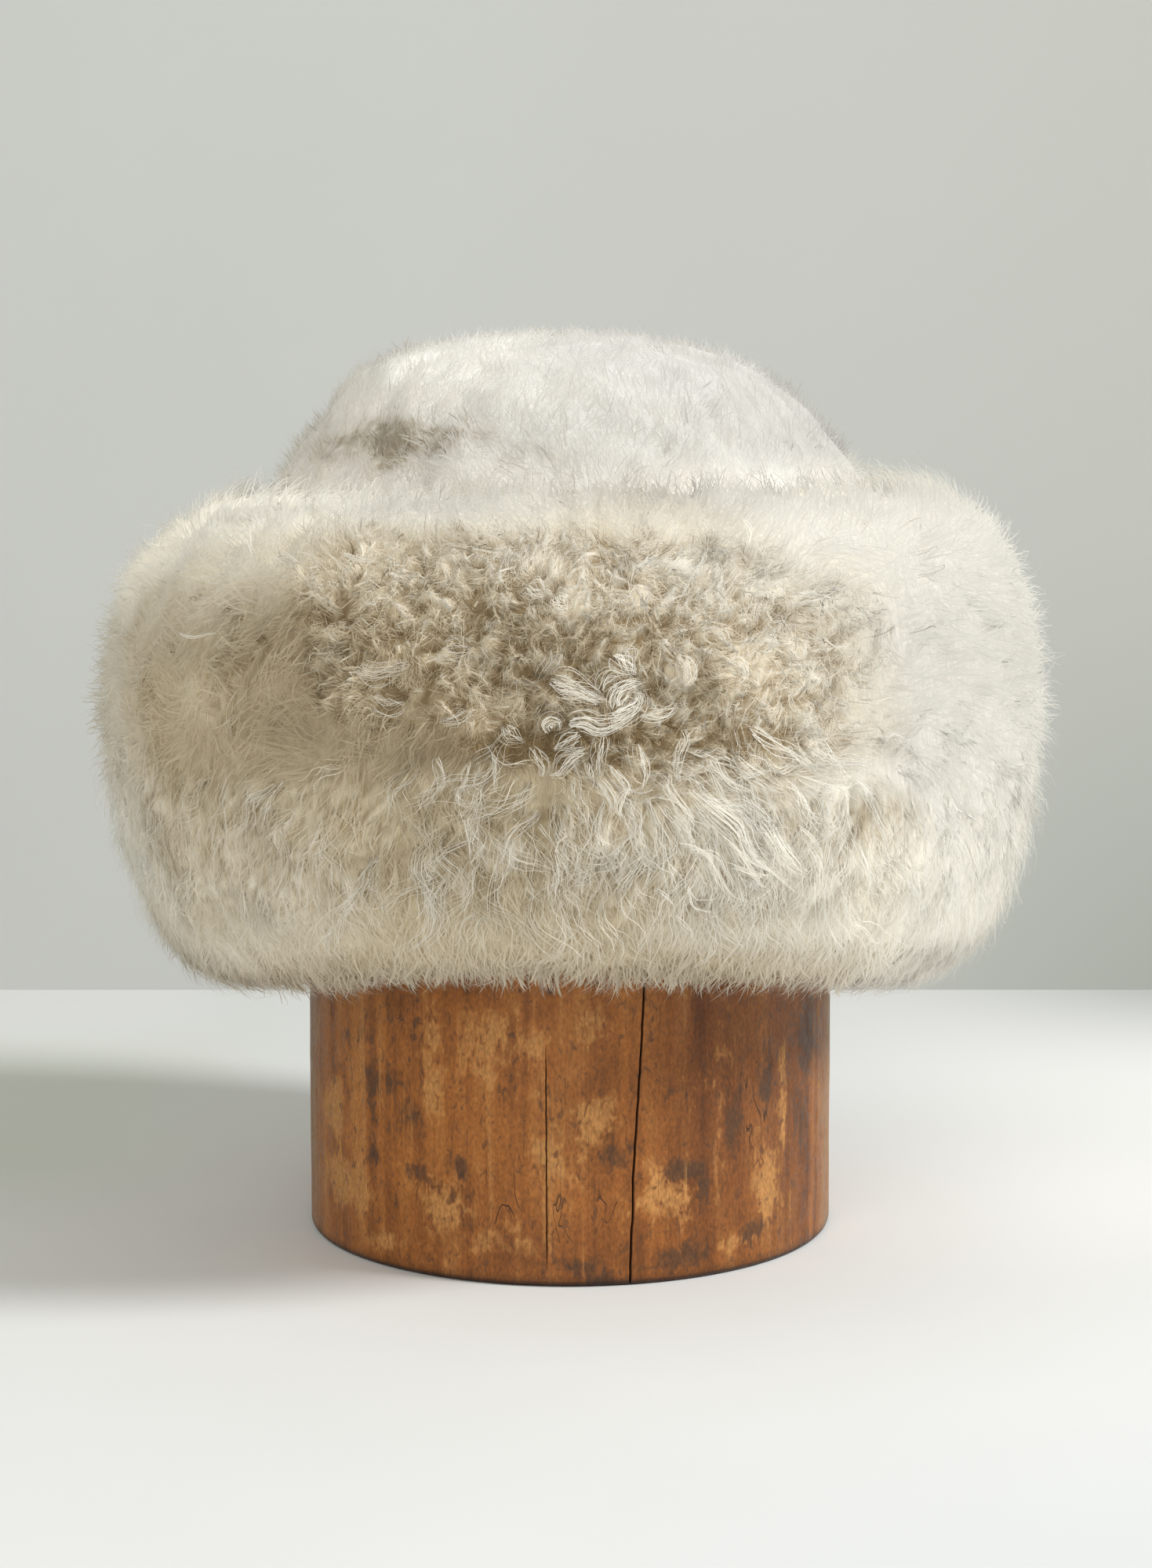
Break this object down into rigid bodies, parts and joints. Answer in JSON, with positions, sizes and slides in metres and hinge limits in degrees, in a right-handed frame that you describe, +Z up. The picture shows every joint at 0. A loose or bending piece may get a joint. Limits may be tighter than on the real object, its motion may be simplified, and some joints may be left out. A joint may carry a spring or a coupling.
{
  "type": "sheepskin fur hat on a wooden hat block",
  "caption": "Sheepskin hat with a domed short-wool crown and a deep turned-up long-wool cuff, standing on an oval wooden hat block.",
  "frame": {"origin": "middle of the hat block's flat foot", "axes": "+Z up through the crown, -Y to the hat's front, +X to the viewer's right of the front"},
  "size_m": [0.3023, 0.328, 0.2859],
  "materials": {
    "worn_wood": "satin, worn",
    "hide_leather": "suede",
    "short_wool": "short soft wool",
    "long_wool": "long crimped wool"
  },
  "bodies": {
    "root": {"hat_block": "worn_wood", "crown_hide": "hide_leather", "cuff_hide": "hide_leather", "crown_wool": "short_wool", "cuff_wool": "long_wool"}
  },
  "joints": []
}
